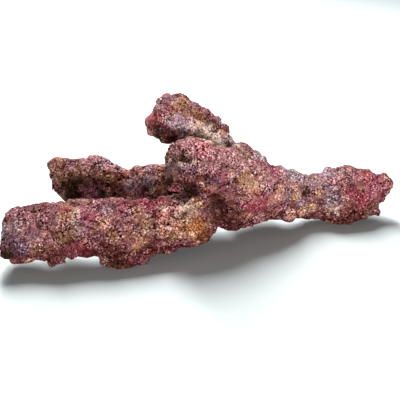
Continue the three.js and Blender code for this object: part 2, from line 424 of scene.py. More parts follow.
@dataclass
class Rock:
    """The whole rock as one weathered stone, and its parting into limbs.

    Each piece is fattened by the overlap, so that the stone closes over the gaps at the forks, and its
    corners within the weld are merged. Coarse is the spacing of the stone's first mesh. Melting and blur are
    how often its facets, and the borders between its limbs, are evened out.
    """

    overlap: float = 0.35 * MM
    weld: float = 0.01 * MM
    coarse: float = 1.72 * MM
    quick_coarse: float = 2.6 * MM
    melting: int = 5
    softness: float = 0.5
    blur: int = 4
    weathering: Weathering = field(default_factory=Weathering)
    stone: Object | None = None

    def copy_of(self, limb: Limb) -> Object:
        """Makes a merged, slightly fattened copy of a limb's piece of the model.

        Args:
            limb: the limb.

        Returns:
            The copy.
        """
        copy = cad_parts[limb.value].copy()
        copy.data = copy.data.copy()
        copy.parent = None
        for key in list(copy.keys()):
            del copy[key]
        bpy.context.scene.collection.objects.link(copy)
        pick(copy)
        bpy.ops.object.mode_set(mode="EDIT")
        bpy.ops.mesh.select_all(action="SELECT")
        bpy.ops.mesh.remove_doubles(threshold=self.weld)
        bpy.ops.mesh.normals_make_consistent(inside=False)
        bpy.ops.transform.shrink_fatten(value=self.overlap)
        bpy.ops.object.mode_set(mode="OBJECT")
        return copy

    def fuse(self) -> None:
        """Grows the five limbs together into one stone and melts its facets."""
        copies = [self.copy_of(limb) for limb in Limb]
        pick(*copies)
        bpy.ops.object.join()
        self.stone = bpy.context.view_layer.objects.active
        self.stone.name = "stone"
        spacing = self.coarse
        apply_modifier(self.stone, "REMESH", mode="VOXEL", voxel_size=spacing, adaptivity=0.0)
        apply_modifier(self.stone, "SMOOTH", factor=self.softness, iterations=self.melting)
        log.info("stone fused: %d faces", len(self.stone.data.polygons))

    def weather(self) -> None:
        """Wears lumps, pits, pores and grains into the stone."""
        apply_modifier(self.stone, "NODES", node_group=self.weathering.lumps())
        apply_modifier(self.stone, "SUBSURF", levels=1, render_levels=1)
        apply_modifier(self.stone, "NODES", node_group=self.weathering.grit())
        log.info("stone weathered: %d faces", len(self.stone.data.polygons))

    def surface(self) -> BVHTree:
        """Returns the stone's surface as it is now."""
        return BVHTree.FromObject(self.stone, bpy.context.evaluated_depsgraph_get())

    def limb_tree(self) -> NodeTree:
        """Draws up the modifier that gives each face the number of the limb that it is nearest to.

        Returns:
            The modifier's tree.
        """
        sheet, mesh_in, mesh_out = self.weathering.modifier_tree("limbs")
        number: Any = 0
        nearest: Any = None
        for index, limb in enumerate(Limb):
            sockets = {0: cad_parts[limb.value]}
            piece = sheet.node("GeometryNodeObjectInfo", sockets, transform_space="RELATIVE")
            sockets = {0: piece.outputs["Geometry"]}
            gap = sheet.node("GeometryNodeProximity", sockets, target_element="FACES")
            sockets = {0: gap.outputs["Distance"], "Iterations": self.blur}
            distance = sheet.node("GeometryNodeBlurAttribute", sockets, data_type="FLOAT").outputs[0]
            if nearest is None:
                nearest = distance
                continue
            sockets = {0: distance, 1: nearest}
            closer = sheet.node("FunctionNodeCompare", sockets, operation="LESS_THAN").outputs[0]
            sockets = {0: closer, 1: number, 2: index}
            number = sheet.node("GeometryNodeSwitch", sockets, input_type="INT").outputs[0]
            nearest = sheet.sums("MINIMUM", distance, nearest)
        sockets = {"Geometry": mesh_in.outputs[0], "Material Index": number}
        numbered = sheet.node("GeometryNodeSetMaterialIndex", sockets)
        sheet.tree.links.new(numbered.outputs[0], mesh_out.inputs[0])
        return sheet.tree

    def part(self, finishes: dict[Limb, Material]) -> None:
        """Parts the stone into its limbs and closes each where it was parted.

        Args:
            finishes: the material of each limb.
        """
        self.stone.data.materials.clear()
        for limb in Limb:
            self.stone.data.materials.append(finishes[limb])
        apply_modifier(self.stone, "NODES", node_group=self.limb_tree())
        pick(self.stone)
        bpy.ops.object.mode_set(mode="EDIT")
        bpy.ops.mesh.select_all(action="SELECT")
        bpy.ops.mesh.separate(type="MATERIAL")
        bpy.ops.object.mode_set(mode="OBJECT")
        for thing in list(bpy.context.selected_objects):
            material = thing.data.materials[thing.data.polygons[0].material_index]
            self.close(thing, next(limb for limb in Limb if finishes[limb] == material))

    def close(self, thing: Object, limb: Limb) -> None:
        """Closes a limb where it was parted, and hands it over as the limb's piece.

        Args:
            thing: the limb's object, open at its forks.
            limb: which limb it is.
        """
        pick(thing)
        bpy.ops.object.mode_set(mode="EDIT")
        bpy.ops.mesh.select_mode(type="EDGE")
        bpy.ops.mesh.select_all(action="DESELECT")
        bpy.ops.mesh.select_non_manifold(
            extend=False, use_wire=False, use_multi_face=False, use_non_contiguous=False, use_verts=False
        )
        bpy.ops.mesh.mark_sharp()
        bpy.ops.mesh.fill_holes(sides=0)
        bpy.ops.mesh.select_all(action="SELECT")
        bpy.ops.mesh.normals_make_consistent(inside=False)
        bpy.ops.mesh.quads_convert_to_tris(quad_method="SHORTEST_DIAGONAL", ngon_method="BEAUTY")
        bpy.ops.object.mode_set(mode="OBJECT")
        bpy.ops.object.shade_smooth(keep_sharp_edges=True)
        thing.name = limb.value + "_crust"
        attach(thing, "root")
        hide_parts(limb.value)
        log.info("%s: %d triangles", thing.name, len(thing.data.polygons))


@dataclass(frozen=True)
class Lamp:
    """A soft, white, rectangular lamp that faces the rock, with a power in watts."""

    name: str
    at: Vector
    size: tuple[float, float]
    power: float


@dataclass(frozen=True)
class Studio:
    """The pale floor, the soft lights and the camera.

    The lens is in millimetres, and the picture is the width and height of the image in pixels.
    """

    aim: Vector = Vector((-7 * MM, -12 * MM, 45 * MM))
    elevation: float = math.radians(22)
    distance: float = 0.9
    lens: float = 90.0
    nearest: float = 0.05
    picture: int = 400
    key: Lamp = Lamp("key", Vector((-0.18, 0.68, 0.99)), (0.34, 1.2), 33.0)
    fill: Lamp = Lamp("fill", Vector((0.30, -1.25, 0.12)), (0.5, 0.24), 17.0)
    sky: Rgba = (0.88, 1.0, 1.0, 1.0)
    sky_strength: float = 0.09
    floor_size: float = 20.0
    floor_colour: Rgba = (0.77, 0.84, 0.84, 1.0)
    floor_roughness: float = 0.9

    def camera(self) -> None:
        """Sets up the camera."""
        back = Vector((0, -math.cos(self.elevation), math.sin(self.elevation)))
        bpy.ops.object.camera_add(
            location=self.aim + self.distance * back, rotation=(math.pi / 2 - self.elevation, 0, 0)
        )
        camera = bpy.context.object
        camera.name = "camera"
        camera.data.lens = self.lens
        camera.data.clip_start = self.nearest
        bpy.context.scene.camera = camera
        bpy.context.view_layer.update()

    def seen_at(self, spot: tuple[float, float], stone: BVHTree) -> Vector | None:
        """Finds what the camera sees at a spot of the picture.

        Args:
            spot: the spot, in pixels of a square picture.
            stone: the stone's surface.

        Returns:
            The point on the stone, or None where it misses the stone.
        """
        camera = bpy.context.scene.camera
        focal = self.lens / camera.data.sensor_width * self.picture
        half = self.picture / 2
        ray = Vector(((spot[0] - half) / focal, (half - spot[1]) / focal, -1)).normalized()
        world = camera.matrix_world
        return stone.ray_cast(world.translation, world.to_3x3() @ ray)[0]

    def found(self, marks: list[Any], stone: BVHTree) -> list[tuple[Vector, Any]]:
        """Finds the places of marks that are given by their spots in the picture.

        Args:
            marks: the dabs or the bulges.
            stone: the stone's surface.

        Returns:
            The place of each mark's middle on the stone, and the mark.
        """
        pairs = []
        for mark in marks:
            place = self.seen_at(mark.spot, stone)
            if place is None:
                log.warning("no stone at %s", mark.spot)
            else:
                pairs.append((place, mark))
        return pairs

    def light(self) -> None:
        """Adds the lamps and the light from all sides."""
        for lamp in (self.key, self.fill):
            turn = (lamp.at - self.aim).to_track_quat("Z", "Y").to_euler()
            bpy.ops.object.light_add(type="AREA", location=lamp.at, rotation=turn)
            light = bpy.context.object
            light.name = lamp.name
            light.data.shape = "RECTANGLE"
            light.data.size, light.data.size_y = lamp.size
            light.data.energy = lamp.power
            log.info("%s light", light.name)
        world = bpy.data.worlds.new("studio")
        bpy.context.scene.world = world
        world.use_nodes = True
        around = world.node_tree.nodes["Background"]
        around.inputs["Color"].default_value = self.sky
        around.inputs["Strength"].default_value = self.sky_strength
        bpy.context.scene.view_settings.view_transform = "Standard"

    def floor(self) -> None:
        """Lays the pale floor."""
        bpy.ops.mesh.primitive_plane_add(size=self.floor_size)
        floor = bpy.context.object
        floor.name = "floor"
        pale = bpy.data.materials.new("pale_floor")
        pale.use_nodes = True
        shader = pale.node_tree.nodes["Principled BSDF"]
        shader.inputs["Base Color"].default_value = self.floor_colour
        shader.inputs["Roughness"].default_value = self.floor_roughness
        floor.data.materials.append(pale)


@dataclass(frozen=True)
class Grain:
    """How sandy grains break up the crust's colour, in steps of lightness that are shares of its red.

    The fine share is how much the finer sand counts in the gaps and in the height. Gap goes over the distance
    from a grain's middle, and its step is painted shade in the gaps between grains, with a little painted
    light on their middles; pale and dark go over numbers from 0 to 1 that each grain has. Middle centres the
    speckle on no step. Vigour is where the grains show strongly. The steps of crumbs and lumps go over their
    heights in
    millimetres: painted shade where they sink and a little painted light where they stand out. Darkest and
    lightest limit the colour, and gamma leads to even steps.
    """

    size: float = 1.5 * MM
    fine_size: float = 1.0 * MM
    fine_share: tuple[float, float] = (0.85, 0.5)
    gap: Ease = Ease(0.45, 0.85)
    pale: Ease = Ease(0.91, 0.95)
    dark: Ease = Ease(0.89, 0.93)
    speckle: float = 1.4 * MM
    speckle_rough: float = 0.8
    contrast: float = 2.9
    middle: float = -1.485
    own_step: Ease = Ease(0.0, 1.0, -0.08, 0.08)
    gap_step: Ease = Ease(0.0, 1.0, 0.08, -0.26)
    pale_step: float = 0.42
    dark_step: float = -0.25
    vigour: Areas = Areas(9 * MM, Ease(0.35, 0.65, 0.5, 1.5), 3.0)
    crumb_step: Ease = Ease(-1.9, 0.1, -0.27, 0.04)
    lump_step: Ease = Ease(-2.2, 0.6, -0.07, 0.03)
    darkest: float = 0.02
    lightest: float = 0.97
    gamma: float = 2.2


@dataclass(frozen=True)
class Surface:
    """The dry, matt surface, with painted shade on faces that point downward, by their upward part, and how
    dark the painted shade in the pits is.
    """

    roughness: float = 0.88
    gloss: float = 0.05
    bump: float = 0.6
    bump_height: float = 0.5 * MM
    underside_shade: Ease = Ease(-0.15, -0.8, 0.0, 0.8)
    pit_shade: float = 0.6


@dataclass
class Crust:
    """The finish of the stone: a dry crust of sandy grains, stained in patches.

    Ragged is how the edges of the dabs and blotches wander. A dab's edge, and its reach beyond a limb's box,
    are in radii, and a blotch's edge goes over noise. Each dab stands beside the place of its middle. Most
    dabs are stains of the crust, but some are painted shade in gaps, crevices, holes and undersides, and some
    painted light on shaded flanks. The crust also has painted shade under the limbs and in its pits.
    """

    grain: Grain = Grain()
    surface: Surface = Surface()
    ragged: Wander = Wander(7 * MM, 10 * MM, 3.0)
    ragged_rough: float = 0.6
    stain_edge: Ease = Ease(1.5, 0.35)
    stain_reach: float = 1.6
    blotch_edge: Ease = Ease(0.5, 0.66)
    blotch_detail: float = 4.0
    blotch_rough: float = 0.65
    stains_and_painted_light: list[tuple[Vector, Dab]] = field(default_factory=list)
    groups: dict[str, NodeTree] = field(default_factory=dict)

    def group(self, name: str, takes: dict[str, str], gives: dict[str, str]) -> tuple[Sheet, Any, Any]:
        """Starts a shader node group.

        Args:
            name: its name.
            takes: its inputs, and the type of each.
            gives: its outputs, and the type of each.

        Returns:
            The sheet, the node that brings the inputs in and the node that takes the outputs out.
        """
        tree = bpy.data.node_groups.new(name, "ShaderNodeTree")
        for socket, kind in takes.items():
            tree.interface.new_socket(socket, in_out="INPUT", socket_type="NodeSocket" + kind)
        for socket, kind in gives.items():
            tree.interface.new_socket(socket, in_out="OUTPUT", socket_type="NodeSocket" + kind)
        self.groups[name] = tree
        sheet = Sheet(tree)
        return sheet, sheet.node("NodeGroupInput"), sheet.node("NodeGroupOutput")

    def placed(self, sheet: Sheet, name: str, sockets: dict[str, Any]) -> Node:
        """Places one of the groups in a material, with its own values."""
        return sheet.node("ShaderNodeGroup", sockets, node_tree=self.groups[name])

    def draw_stain(self) -> None:
        """Draws up the stain: one pigment within reach of a point."""
        takes = {"Under": "Color", "Place": "Vector", "Middle": "Vector", "Radius": "Float"}
        takes |= {"Pigment": "Color", "Strength": "Float"}
        sheet, given, out = self.group("stain", takes, {"Colour": "Color"})
        away = sheet.vectors("DISTANCE", given.outputs["Place"], given.outputs["Middle"]).outputs["Value"]
        share = sheet.sums("DIVIDE", away, given.outputs["Radius"])
        cover = sheet.sums("MULTIPLY", sheet.eased(share, self.stain_edge), given.outputs["Strength"])
        colour = sheet.mixed(cover, given.outputs["Under"], given.outputs["Pigment"])
        sheet.tree.links.new(colour, out.inputs["Colour"])

    def draw_sand(self) -> None:
        """Draws up the sand: each grain's tone and height, the gaps, and which grains are pale or dark."""
        takes = {"Place": "Vector", "Size": "Float"}
        gives = {"Tone": "Float", "Gap": "Float", "Pale": "Float", "Dark": "Float", "Height": "Float"}
        sheet, given, out = self.group("sand", takes, gives)
        scale = sheet.sums("DIVIDE", 1.0, given.outputs["Size"])
        cells = sheet.node("ShaderNodeTexVoronoi", {"Vector": given.outputs["Place"], "Scale": scale})
        own = sheet.node("ShaderNodeSeparateColor", {0: cells.outputs["Color"]})
        links = sheet.tree.links
        links.new(own.outputs[0], out.inputs["Tone"])
        links.new(sheet.eased(cells.outputs["Distance"], self.grain.gap), out.inputs["Gap"])
        links.new(sheet.eased(own.outputs[1], self.grain.pale), out.inputs["Pale"])
        links.new(sheet.eased(own.outputs[2], self.grain.dark), out.inputs["Dark"])
        links.new(sheet.sums("SUBTRACT", 1.0, cells.outputs["Distance"]), out.inputs["Height"])

    def draw_blotches(self) -> None:
        """Draws up the soft blotches that wander over the whole crust."""
        takes = {"Under": "Color", "Place": "Vector", "Spacing": "Float"}
        takes |= {"Amount": "Float", "Pigment": "Color"}
        sheet, given, out = self.group("blotches", takes, {"Colour": "Color"})
        scale = sheet.sums("DIVIDE", 1.0, given.outputs["Spacing"])
        sockets = {"Vector": given.outputs["Place"], "Scale": scale}
        sockets |= {"Detail": self.blotch_detail, "Roughness": self.blotch_rough}
        hills = sheet.node("ShaderNodeTexNoise", sockets).outputs[0]
        cover = sheet.sums("MULTIPLY", sheet.eased(hills, self.blotch_edge), given.outputs["Amount"])
        colour = sheet.mixed(cover, given.outputs["Under"], given.outputs["Pigment"])
        sheet.tree.links.new(colour, out.inputs["Colour"])

    def draw_groups(self) -> None:
        """Draws up every group."""
        self.draw_stain()
        self.draw_sand()
        self.draw_blotches()

    def material(self, limb: Limb) -> Material:
        """Makes the material of one limb.

        Args:
            limb: the limb.

        Returns:
            The material.
        """
        material = bpy.data.materials.new(limb.value + "_stone")
        material.use_nodes = True
        sheet = Sheet(material.node_tree)
        shader = material.node_tree.nodes["Principled BSDF"]
        place = sheet.node("ShaderNodeAttribute", attribute_name="place").outputs["Vector"]
        upward, pitted, lump, crumb = (
            sheet.node("ShaderNodeAttribute", attribute_name=name).outputs["Fac"]
            for name in ("upward", "pitted", "lump", "crumb")
        )
        colour = self.stained(sheet, place, limb)
        colour, height = self.grainy(sheet, place, colour, lump, crumb, TONES[limb])
        # Painted shade: faces that point downward are multiplied towards crimson, the more the further down
        # they face.
        shade = sheet.eased(upward, self.surface.underside_shade)
        colour = sheet.mixed(shade, colour, Hue.CRIMSON.linear, "MULTIPLY")
        # Painted shade in the pits: darker towards the near-black pore shade, the deeper they are worn.
        hidden = sheet.sums("MULTIPLY", pitted, self.surface.pit_shade)
        colour = sheet.mixed(hidden, colour, Hue.PORE.linear)
        sheet.tree.links.new(colour, shader.inputs["Base Color"])
        shader.inputs["Roughness"].default_value = self.surface.roughness
        shader.inputs["Specular IOR Level"].default_value = self.surface.gloss
        sockets = {"Height": height, "Strength": self.surface.bump, "Distance": self.surface.bump_height}
        sheet.tree.links.new(sheet.node("ShaderNodeBump", sockets).outputs[0], shader.inputs["Normal"])
        return material

    def stained(self, sheet: Sheet, place: Any, limb: Limb) -> NodeSocket:
        """Returns the crust's colour under its grains: dusty pink with blotches, and then with its dabs of
        stain, painted shade and painted light.

        Args:
            sheet: the material's sheet.
            place: each point's place on the stone.
            limb: the limb, which takes only the dabs that reach it.

        Returns:
            The colour.
        """
        wander = sheet.noise(place, self.ragged.spacing, self.ragged.detail, self.ragged_rough).outputs[1]
        centred = sheet.vectors("SUBTRACT", wander, (0.5, 0.5, 0.5)).outputs[0]
        ragged = sheet.vectors("ADD", place, sheet.stretched(centred, self.ragged.reach)).outputs[0]
        colour: Any = Hue.DUSTY_PINK.linear
        for kind in GROUND:
            moved = sheet.vectors("ADD", ragged, (kind.aside, kind.aside, kind.aside)).outputs[0]
            sockets = {"Under": colour, "Place": moved, "Spacing": kind.spacing}
            sockets |= {"Amount": kind.amount, "Pigment": kind.pigment.linear}
            colour = self.placed(sheet, "blotches", sockets).outputs[0]
        low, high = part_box(limb.value)
        for middle, dab in self.stains_and_painted_light:
            radius = dab.radius * MM
            nearest = Vector(max(low[i], min(high[i], middle[i])) for i in range(3))
            if (nearest - middle).length > self.stain_reach * radius:
                continue
            sockets = {"Under": colour, "Place": ragged, "Middle": middle, "Radius": radius}
            sockets |= {"Pigment": dab.pigment.linear, "Strength": dab.strength}
            colour = self.placed(sheet, "stain", sockets).outputs[0]
        return colour

    def grainy(
        self, sheet: Sheet, place: Any, colour: Any, lump: Any, crumb: Any, tone: float
    ) -> tuple[NodeSocket, NodeSocket]:
        """Breaks a colour up into sandy grains.

        Args:
            sheet: the material's sheet.
            place: each point's place on the stone.
            colour: the colour under the grains.
            lump: how far the stone stands out or is worn in there, in millimetres.
            crumb: the height of its crumbs there, in millimetres.
            tone: how light the whole limb is.

        Returns:
            The colour and the height of the grains.
        """
        grain = self.grain
        gap_share, height_share = grain.fine_share
        coarse = self.placed(sheet, "sand", {"Place": place, "Size": grain.size}).outputs
        fine = self.placed(sheet, "sand", {"Place": place, "Size": grain.fine_size}).outputs
        gap = sheet.sums("MAXIMUM", coarse["Gap"], sheet.sums("MULTIPLY", fine["Gap"], gap_share))
        speckle = sheet.noise(place, grain.speckle, rough=grain.speckle_rough).outputs[0]
        lift = sheet.sums("MULTIPLY_ADD", speckle, grain.contrast, grain.middle)
        # The gap step is painted shade between the grains, with a little painted light on their middles; the
        # grains' own tone, the pale and dark grains and the speckle are the crust's colour.
        for step in (
            sheet.eased(coarse["Tone"], grain.own_step),
            sheet.eased(gap, grain.gap_step),
            sheet.sums("MULTIPLY", coarse["Pale"], grain.pale_step),
            sheet.sums("MULTIPLY", coarse["Dark"], grain.dark_step),
        ):
            lift = sheet.sums("ADD", lift, step)
        lift = sheet.sums("MULTIPLY", lift, sheet.within(place, grain.vigour))
        # Painted shade where the crumbs and lumps sink, and a little painted light where they stand out.
        lift = sheet.sums("ADD", lift, sheet.eased(crumb, grain.crumb_step))
        lift = sheet.sums("ADD", lift, sheet.eased(lump, grain.lump_step))
        height = sheet.sums("ADD", coarse["Height"], sheet.sums("MULTIPLY", fine["Height"], height_share))
        return self.lifted(sheet, colour, lift, tone), height

    def lifted(self, sheet: Sheet, colour: Any, lift: Any, tone: float) -> NodeSocket:
        """Makes a colour lighter or darker as a dry crust does: by the same step in red, green and blue.

        Args:
            sheet: the material's sheet.
            colour: the colour.
            lift: how much lighter it becomes, as a share of its red.
            tone: how light the whole limb is, where 1 leaves it as it is.

        Returns:
            The colour.
        """
        grain = self.grain
        even = sheet.node("ShaderNodeGamma", {"Color": colour, "Gamma": 1 / grain.gamma}).outputs[0]
        even = sheet.stretched(even, tone)
        red = sheet.node("ShaderNodeSeparateColor", {0: even}).outputs[0]
        step = sheet.sums("MULTIPLY", red, lift)
        step = sheet.sums("MINIMUM", step, sheet.sums("SUBTRACT", grain.lightest, red))
        steps = sheet.node("ShaderNodeCombineXYZ", {0: step, 1: step, 2: step}).outputs[0]
        stepped = sheet.vectors("ADD", even, steps).outputs[0]
        kept = sheet.vectors("MAXIMUM", stepped, (grain.darkest, grain.darkest, grain.darkest)).outputs[0]
        return sheet.node("ShaderNodeGamma", {"Color": kept, "Gamma": grain.gamma}).outputs[0]


# How light each limb is, where 1 leaves its colours as they are.
TONES = {Limb.TRUNK: 0.86, Limb.FRONT: 0.84, Limb.RAISED: 0.87, Limb.UPPER: 0.96, Limb.REAR: 0.92}

# What covers the dusty pink of the whole crust, in the order of the layers.
GROUND = [
    Blotches(Hue.MAGENTA, 34 * MM, 0.9, 0.83),
    Blotches(Hue.LILAC, 30 * MM, 0.9, 0.31),
    Blotches(Hue.PLUM, 25 * MM, 0.8, 1.19),
    Blotches(Hue.OCHRE, 26 * MM, 0.8, 0.57),
    Blotches(Hue.MAROON, 19 * MM, 0.7, 1.71),
    Blotches(Hue.SAND, 13 * MM, 0.6, 1.47),
]
